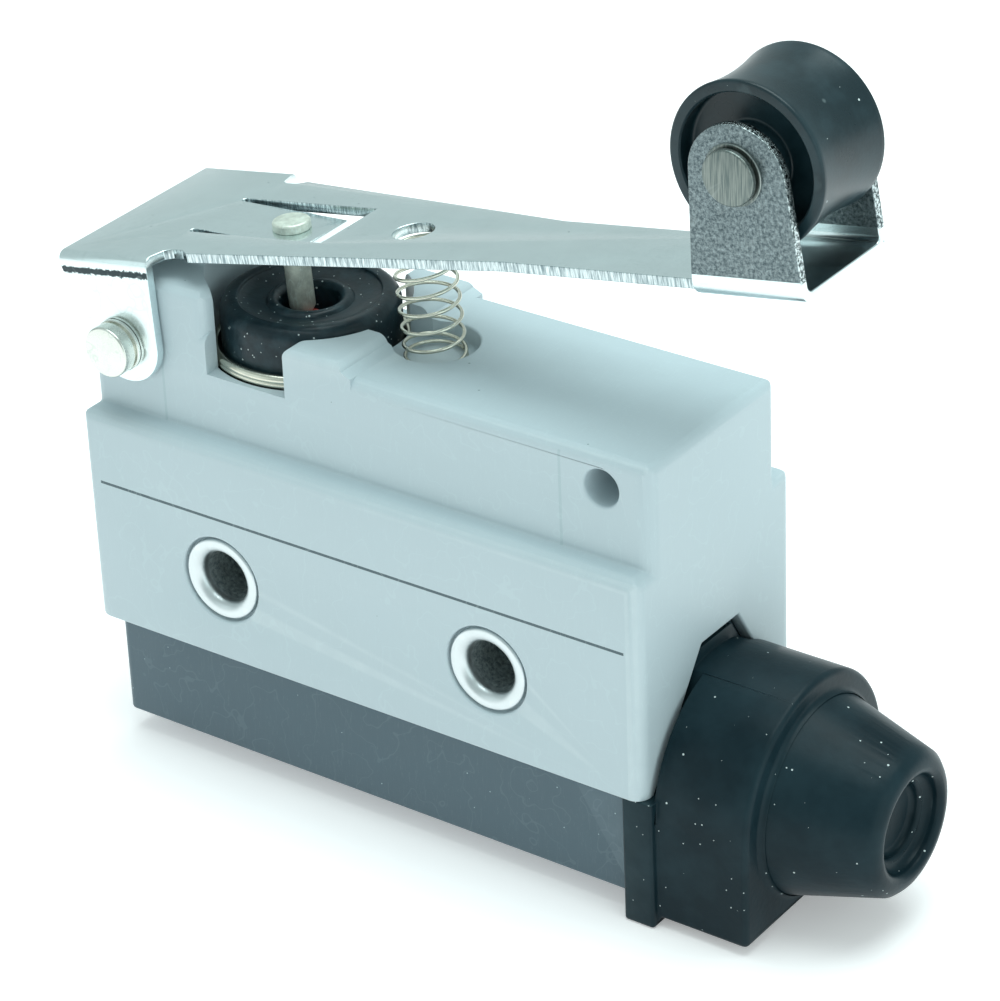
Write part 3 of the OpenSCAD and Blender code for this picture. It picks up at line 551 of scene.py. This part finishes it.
FINISH_MAKERS = {
    "housing_plastic": lambda c: finish("Housing plastic", c.housing, 0.42, depth=0.006, drift=0.03,
                                        specks=0.012,
                                        speck_colour=(0.25, 0.33, 0.34), scratches=0.12, wear=0.25,
                                        scratch_colour=(0.62, 0.75, 0.76), extra=paint_housing),
    "base_plastic": lambda c: finish("Base plastic", c.base, 0.40, depth=0.006, drift=0.07, specks=0.03,
                                     speck_colour=(0.4, 0.5, 0.52), scratches=0.12, wear=0.4,
                                     scratch_colour=(0.22, 0.29, 0.32), wear_colour=(0.28, 0.36, 0.4)),
    "seal_rubber": lambda c: finish("Seal rubber", c.rubber, 0.34, specular=0.3, grain=2600, depth=0.015,
                                    drift=0.3,
                                    spread=700, specks=0.9, dust_and_sheen=0.45, wear=0.5,
                                    wear_colour=(0.07, 0.11, 0.12)),
    "cover_rubber": lambda c: finish("Cover rubber", c.rubber, 0.36, specular=0.14, grain=2200, depth=0.012,
                                     drift=0.25, spread=110, specks=0.3, dust_and_sheen=0.35, wear=0.6,
                                     wear_colour=(0.07, 0.11, 0.12)),
    "roller_plastic": lambda c: finish("Roller plastic", c.roller, 0.3, specular=0.35, depth=0.006,
                                       drift=0.15,
                                       spread=260, specks=0.08, dust_and_sheen=0.5, wear=0.5,
                                       wear_colour=(0.08, 0.12, 0.13), extra=paint_roller),
    "lever_steel": lambda c: finish("Lever plating", c.nickel, 0.24, metallic=1.0, grain=3000, depth=0.003,
                                    drift=0.04, spread=300, specks=0.02, scratches=0.15, wear=0.5,
                                    speck_colour=(0.3, 0.36, 0.37), extra=paint_lever),
    "pin_steel": lambda c: finish("Pin steel", c.pins, 0.27, metallic=1.0, grain=2600, depth=0.006,
                                  drift=0.12,
                                  spread=900, scratches=0.25, wear=0.6),
    "ferrule_steel": lambda c: finish("Eyelet steel", (0.66, 0.70, 0.71), 0.36, metallic=1.0, depth=0.006,
                                      drift=0.12, spread=500, wear=0.4, extra=paint_bore_shade),
    "ring_steel": lambda c: finish("Ring wire", c.wire, 0.22, metallic=1.0, drift=0.15, spread=900,
                                   scratches=0.2),
    "spring_steel": lambda c: finish("Spring wire", c.wire, 0.22, metallic=1.0, drift=0.18, spread=1200,
                                     scratches=0.2),
    "rivet_steel": lambda c: finish("Rivet steel", (0.60, 0.60, 0.58), 0.35, metallic=1.0, scratches=0.3,
                                    wear=0.4),
    "screw_steel": lambda c: finish("Screw steel", (0.70, 0.70, 0.66), 0.3, metallic=1.0, scratches=0.3,
                                    wear=0.4),
    "brass": lambda c: finish("Strip brass", (0.80, 0.60, 0.25), 0.3, metallic=1.0, drift=0.1, scratches=0.3),
    "spring_bronze": lambda c: finish("Spring bronze", (0.75, 0.45, 0.22), 0.3, metallic=1.0, drift=0.1,
                                      scratches=0.3),
    "silver": lambda c: finish("Contact silver", (0.86, 0.85, 0.82), 0.25, metallic=1.0, drift=0.08),
    "plunger_plastic": lambda c: finish("Plunger plastic", (0.55, 0.06, 0.04), 0.3, drift=0.08, wear=0.3),
    "phenolic": lambda c: finish("Moulded resin", (0.25, 0.09, 0.05), 0.45, drift=0.15, wear=0.3),
}
made_finishes = {}


def finish_for(slot):
    """The finish of a material slot, made the first time it is asked for."""
    if slot not in made_finishes:
        made_finishes[slot] = FINISH_MAKERS[slot](bpy.context.scene.switch_colours)
    return made_finishes[slot]


# ---- Operators ----

class SwitchOperator:
    bl_options = {"REGISTER", "UNDO"}


class LIMIT_SWITCH_OT_finishes(SwitchOperator, bpy.types.Operator):
    """Make the shared effects and give every frame node the finish of its slot"""
    bl_idname = "limit_switch.finishes"
    bl_label = "Finishes"

    def execute(self, context):
        for make in (make_grain_group, make_speck_group, make_scratch_group, make_wear_group):
            make()
        for part in frame["record"]["subparts"]:
            mesh = NODES[part["node"]].data
            mesh.materials.clear()
            mesh.materials.append(finish_for(part["material_slot"]))
        return {"FINISHED"}


def shell_share(point):
    """The seal's well and tabs keep their moulded edges, and the foot of the cable cut-out stays square."""
    by_well = point.z > 13 and point.x < 1
    cutout_foot = point.x > 24.3 and point.z < -6
    return 0.0 if by_well or cutout_foot else 1.0


def cover_share(point):
    """The flange behind the end wall, and the thin lip beside it, stay almost square."""
    return 0.12 if point.x < 28.5 and point.z > -8.2 else 0.6 if point.x < 27.5 else 1.0


class LIMIT_SWITCH_OT_shells(SwitchOperator, bpy.types.Operator):
    """Build the light upper shell and the dark base with moulded edges"""
    bl_idname = "limit_switch.shells"
    bl_label = "Housing and base"

    def execute(self, context):
        width = context.scene.switch_sizes.shell_round
        for node, name, slot in (("housing", "housing_shell", "housing_plastic"),
                                 ("base", "base_tray", "base_plastic")):
            piece = worked_copy(node, name)
            round_edges(piece, width, share=shell_share)
            smooth(piece)
            hand_over(piece, "case", slot, node)
        return {"FINISHED"}


class LIMIT_SWITCH_OT_eyelets(SwitchOperator, bpy.types.Operator):
    """Turn the two flared steel eyelets of the mounting holes"""
    bl_idname = "limit_switch.eyelets"
    bl_label = "Mounting eyelets"

    def execute(self, context):
        low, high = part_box("mounting_ferrules")
        bore, tube, flange = 2.15, 2.9, 3.42
        face = high.y / MM
        seat = face - 0.6
        front = [(tube, seat), (flange, seat)]
        front += arc((flange - 0.2, face - 0.2), 0.2, 0, 90, 4)
        front += arc((bore + 0.85, face - 0.85), 0.85, 90, 180, 10)
        back = [(radius, -height) for radius, height in reversed(front)]
        first = turned("eyelet_left", front + back, Vector((low.x + flange * MM, 0, 0)), ACROSS)
        second = bpy.data.objects.new("eyelet_right", first.data.copy())
        context.scene.collection.objects.link(second)
        second.data.transform(Matrix.Translation((high.x - low.x - 2 * flange * MM, 0, 0)))
        for piece in (first, second):
            hand_over(piece, "case", "ferrule_steel", "mounting_ferrules")
        return {"FINISHED"}


class LIMIT_SWITCH_OT_seal(SwitchOperator, bpy.types.Operator):
    """Turn the rubber seal and wind the wire ring that holds it in its well"""
    bl_idname = "limit_switch.seal"
    bl_label = "Seal and ring"

    def execute(self, context):
        low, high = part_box("seal_boot")
        centre = Vector(((low.x + high.x) / 2, 0, 0))
        floor, top = low.z / MM, high.z / MM
        foot_r = (high.x - low.x) / 2 / MM
        crown_r, edge = 7.05, 1.0
        profile = [(6.2, floor), (foot_r, floor), (foot_r, floor + 0.7), (crown_r, floor + 0.75)]
        profile += [(crown_r, top - edge)] + arc((crown_r - edge, top - edge), edge, 0, 90, 8)[1:]
        profile += arc((5.75, top - 0.2), 0.2, 90, 180, 4)
        profile += [(5.35, top - 0.34), (4.6, top - 0.5), (3.9, top - 0.62), (3.45, top - 0.62)]
        profile += arc((2.9, top - 0.9), 0.6, 50, 180, 8)
        profile += [(2.25, floor + 1.9), (1.55, floor + 1.5), (1.55, floor + 0.65), (3.2, floor + 0.65),
                    (3.2, top - 1.8), (6.0, top - 1.8)]
        seal = turned("plunger_seal", profile, centre, UP)
        hand_over(seal, "case", "seal_rubber", "seal_boot")
        ring_low, ring_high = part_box("seal_ring")
        wire_r = 0.4
        radius = (ring_high.x - ring_low.x) / 2 / MM - wire_r
        rise = (ring_high.z - ring_low.z) / MM - 2 * wire_r
        turns = context.scene.switch_sizes.ring_turns
        ring = coil("seal_ring_wire", wire_r, radius, turns, rise, steps=96)
        ring.data.transform(Matrix.Translation((centre.x, 0, ring_low.z + wire_r * MM)))
        smooth(ring, 50)
        hand_over(ring, "case", "ring_steel", "seal_ring")
        return {"FINISHED"}


def rivet_profile(shaft, collar, head, seat, face, groove):
    """Closed half outline of a double-headed rivet: a collar, a groove and a chamfered head at each end."""
    one_end = [(shaft, seat), (collar, seat), (collar, seat + groove - 0.06), (collar - 0.06, seat + groove)]
    one_end += [(head - 0.25, seat + groove), (head - 0.25, seat + 2 * groove), (head, seat + 2.1 * groove)]
    one_end += [(head, face - 0.2)] + arc((head - 0.18, face - 0.2), 0.18, 10, 80, 4) + [(0, face)]
    other_end = [(radius, -height) for radius, height in reversed(one_end)]
    return other_end + one_end


class LIMIT_SWITCH_OT_lever(SwitchOperator, bpy.types.Operator):
    """Build the stamped lever, its pivot rivet and the plunger pin in its tongue"""
    bl_idname = "limit_switch.lever"
    bl_label = "Lever and pins"

    def execute(self, context):
        plate = worked_copy("lever_plate", "lever_stamping")
        round_edges(plate, context.scene.switch_sizes.sheet_round)
        smooth(plate)
        hand_over(plate, "lever", "lever_steel", "lever_plate")
        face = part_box("pivot_pin")[1].y / MM
        outline = rivet_profile(1.5, 2.12, 2.07, 9.46, face, 0.3)
        pivot = turned("pivot_rivet", outline, Vector((PIVOT.x, 0, PIVOT.z)), ACROSS)
        hand_over(pivot, "case", "pin_steel", "pivot_pin")
        root = on_lever(4.5, 7.31)
        along = Vector((math.cos(TONGUE_SLOPE), 0, math.sin(TONGUE_SLOPE)))
        square = Vector((-math.sin(TONGUE_SLOPE), 0, math.cos(TONGUE_SLOPE)))
        foot = root + along * 6.98 * MM
        profile = [(0, -6.84), (0.75, -6.84), (0.83, -6.76), (1.03, -6.4), (1.03, 0), (1.44, 0), (1.5, 0.06)]
        profile += [(1.5, 0.5)] + arc((1.26, 0.5), 0.24, 10, 80, 5) + [(0.7, 0.75), (0, 0.76)]
        pin = turned("plunger_stem", profile, foot, square)
        hand_over(pin, "lever", "pin_steel", "plunger_pin")
        pin.data.materials[0] = finish("Stem steel", (0.62, 0.66, 0.58), 0.42, metallic=0.45, depth=0.004,
                                       drift=0.5,
                                       spread=1500, scratches=0.4, scratch_colour=(0.9, 1, 0.95))
        return {"FINISHED"}


class LIMIT_SWITCH_OT_roller(SwitchOperator, bpy.types.Operator):
    """Turn the waisted roller and its riveted axle"""
    bl_idname = "limit_switch.roller"
    bl_label = "Roller and axle"

    def execute(self, context):
        low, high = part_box("roller")
        tread_r = (high.z - low.z) / 2 / MM
        hub_half = high.y / MM
        half, web, bore, hub_r, recess_r = 4.05, 2.6, 1.65, 2.8, 5.35
        waist, edge = 0.3, 0.22
        side = [(bore, hub_half), (hub_r - 0.15, hub_half), (hub_r, hub_half - 0.15), (hub_r, web + 0.25)]
        side += arc((hub_r + 0.25, web + 0.25), 0.25, 180, 270, 4)[1:]
        side += arc((recess_r - 0.3, web + 0.3), 0.3, 270, 360, 4)
        side += [(recess_r, half - 0.12), (recess_r + 0.12, half)]
        side += arc((tread_r - edge, half - edge), edge, 90, 0, 5)
        reach = half - edge
        steps = 24
        tread = [(tread_r - waist * (1 - (i / steps * 2 - 1) ** 2), reach - 2 * reach * i / steps)
                 for i in range(1, steps)]
        back = [(radius, -height) for radius, height in reversed(side)]
        wheel = turned("roller_wheel", side + tread + back, Vector((AXLE.x, 0, AXLE.z)), ACROSS)
        hand_over(wheel, "roller", "roller_plastic", "roller")
        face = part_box("roller_axle")[1].y / MM
        outline = rivet_profile(1.6, 2.3, 2.08, 5.54, face, 0.22)
        axle = turned("roller_rivet", outline, Vector((AXLE.x, 0, AXLE.z)), ACROSS)
        hand_over(axle, "lever", "pin_steel", "roller_axle")
        axle.data.materials[0] = finish("Axle steel", (0.125, 0.155, 0.15), 0.4, metallic=1.0, depth=0.004,
                                        drift=0.15,
                                        spread=900, wear=1.0, extra=paint_brushed)
        return {"FINISHED"}


class LIMIT_SWITCH_OT_spring(SwitchOperator, bpy.types.Operator):
    """Wind the return spring between its pocket and the lever"""
    bl_idname = "limit_switch.spring"
    bl_label = "Return spring"

    def execute(self, context):
        wire_r, radius, closed = 0.15, 2.335, 1.0
        turns = context.scene.switch_sizes.spring_turns
        low = Vector((1.5 * MM, 0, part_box("return_spring")[0].z + wire_r * MM))
        high = on_lever(24, 6.31)
        spring = coil("return_spring_wire", wire_r, radius, turns, turns)
        for vertex in spring.data.vertices:
            part_turn = math.atan2(vertex.co.y, vertex.co.x) / (2 * math.pi)
            wound = round(vertex.co.z / MM - part_turn) + part_turn
            flat = vertex.co.z - wound * MM
            rise = 0.03 * min(wound, closed) + 0.03 * max(wound - turns + closed, 0)
            rise += 0.94 * min(max(wound - closed, 0), turns - 2 * closed) / (turns - 2 * closed)
            lean = LEVER_SLOPE * min(max(rise, 0), 1)
            centre = low.lerp(high, rise)
            vertex.co = centre + Matrix.Rotation(-lean, 3, "Y") @ Vector((vertex.co.x, vertex.co.y, flat))
        smooth(spring, 50)
        hand_over(spring, None, "spring_steel", "return_spring")
        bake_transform(spring)
        return {"FINISHED"}


class LIMIT_SWITCH_OT_cover(SwitchOperator, bpy.types.Operator):
    """Build the rubber terminal cover with its closed cable outlet"""
    bl_idname = "limit_switch.cover"
    bl_label = "Terminal cover"

    def execute(self, context):
        cover = worked_copy("terminal_cover", "terminal_boot")
        round_edges(cover, context.scene.switch_sizes.cover_round, segments=4, share=cover_share)
        smooth(cover)
        hand_over(cover, "case", "cover_rubber", "terminal_cover")
        return {"FINISHED"}


class LIMIT_SWITCH_OT_stage(SwitchOperator, bpy.types.Operator):
    """Set the pale floor, the soft lights and the camera"""
    bl_idname = "limit_switch.stage"
    bl_label = "Stage"

    def execute(self, context):
        stage = context.scene.switch_stage
        bpy.ops.object.select_all(action="DESELECT")
        bpy.ops.mesh.primitive_plane_add(size=4, location=(0, 0, 0))
        floor = context.object
        floor.name = "floor"
        floor.data.transform(Matrix.Translation((0, 0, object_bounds()[0].z)))
        pale = finish("Pale floor", (0.97, 0.93, 0.93), 0.8, depth=0.0005, drift=0.004)
        pale.node_tree.nodes["Principled BSDF"].inputs["Emission Color"].default_value = (1, 1, 1, 1)
        pale.node_tree.nodes["Principled BSDF"].inputs["Emission Strength"].default_value = stage.floor_glow
        floor.data.materials.append(pale)
        floor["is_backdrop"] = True
        lights = (("top", (0.04, 0.10, 0.62), 0.55, stage.top_power, (0.86, 1, 1)),
                  ("left", (-0.38, -0.52, 0.22), 0.45, stage.left_power, (0.87, 1, 1)),
                  ("right", (0.62, -0.12, 0.20), 0.45, stage.right_power, (0.83, 1, 1)))
        for name, place, size, power, colour in lights:
            light = bpy.data.lights.new(name + "_softbox", "AREA")
            light.shape = "SQUARE"
            light.size = size
            light.energy = power
            light.color = colour
            holder = bpy.data.objects.new(light.name, light)
            holder.location = place
            holder.rotation_euler = (Vector((0, 0, 0.01)) - Vector(place)).to_track_quat("-Z", "Y").to_euler()
            context.scene.collection.objects.link(holder)
        world = bpy.data.worlds.new("Pale room")
        world.use_nodes = True
        sky = world.node_tree.nodes["Background"]
        sky.inputs["Color"].default_value = (0.83, 1, 1, 1)
        sky.inputs["Strength"].default_value = stage.sky
        context.scene.world = world
        context.scene.view_settings.view_transform = "Standard"
        camera = bpy.data.cameras.new("camera")
        camera.lens = stage.lens
        camera.sensor_width = 36
        camera.clip_start = 0.01
        eye = bpy.data.objects.new("camera", camera)
        turn = Matrix.Rotation(stage.azimuth, 4, "Z") @ Matrix.Rotation(math.pi / 2 - stage.elevation, 4, "X")
        turn = turn @ Matrix.Rotation(stage.roll, 4, "Z")
        back = turn @ Vector((0, 0, 1))
        eye.matrix_world = Matrix.Translation(Vector(stage.aim) + back * stage.distance) @ turn
        context.scene.collection.objects.link(eye)
        context.scene.camera = eye
        return {"FINISHED"}


STEPS = ("finishes", "shells", "eyelets", "seal", "lever", "roller", "spring", "cover", "stage")


class LIMIT_SWITCH_PT_panel(bpy.types.Panel):
    """Lists the steps that build the switch"""
    bl_label = "Limit switch"
    bl_space_type = "VIEW_3D"
    bl_region_type = "UI"
    bl_category = "Limit switch"

    def draw(self, context):
        for step in STEPS:
            self.layout.operator("limit_switch." + step)
        for group in (context.scene.switch_sizes, context.scene.switch_colours, context.scene.switch_stage):
            box = self.layout.box()
            for name in group.__annotations__:
                box.prop(group, name)


GROUPS = {"switch_sizes": SwitchSizes, "switch_colours": SwitchColours, "switch_stage": SwitchStage}
CLASSES = (*GROUPS.values(), LIMIT_SWITCH_OT_finishes, LIMIT_SWITCH_OT_shells, LIMIT_SWITCH_OT_eyelets,
           LIMIT_SWITCH_OT_seal, LIMIT_SWITCH_OT_lever, LIMIT_SWITCH_OT_roller, LIMIT_SWITCH_OT_spring,
           LIMIT_SWITCH_OT_cover, LIMIT_SWITCH_OT_stage, LIMIT_SWITCH_PT_panel)


def register():
    for cls in CLASSES:
        bpy.utils.register_class(cls)
    for name, group in GROUPS.items():
        setattr(bpy.types.Scene, name, PointerProperty(type=group))


def unregister():
    for name in GROUPS:
        delattr(bpy.types.Scene, name)
    for cls in reversed(CLASSES):
        bpy.utils.unregister_class(cls)


def main():
    register()
    for step in STEPS:
        getattr(bpy.ops.limit_switch, step)()


if __name__ == "__main__":
    main()
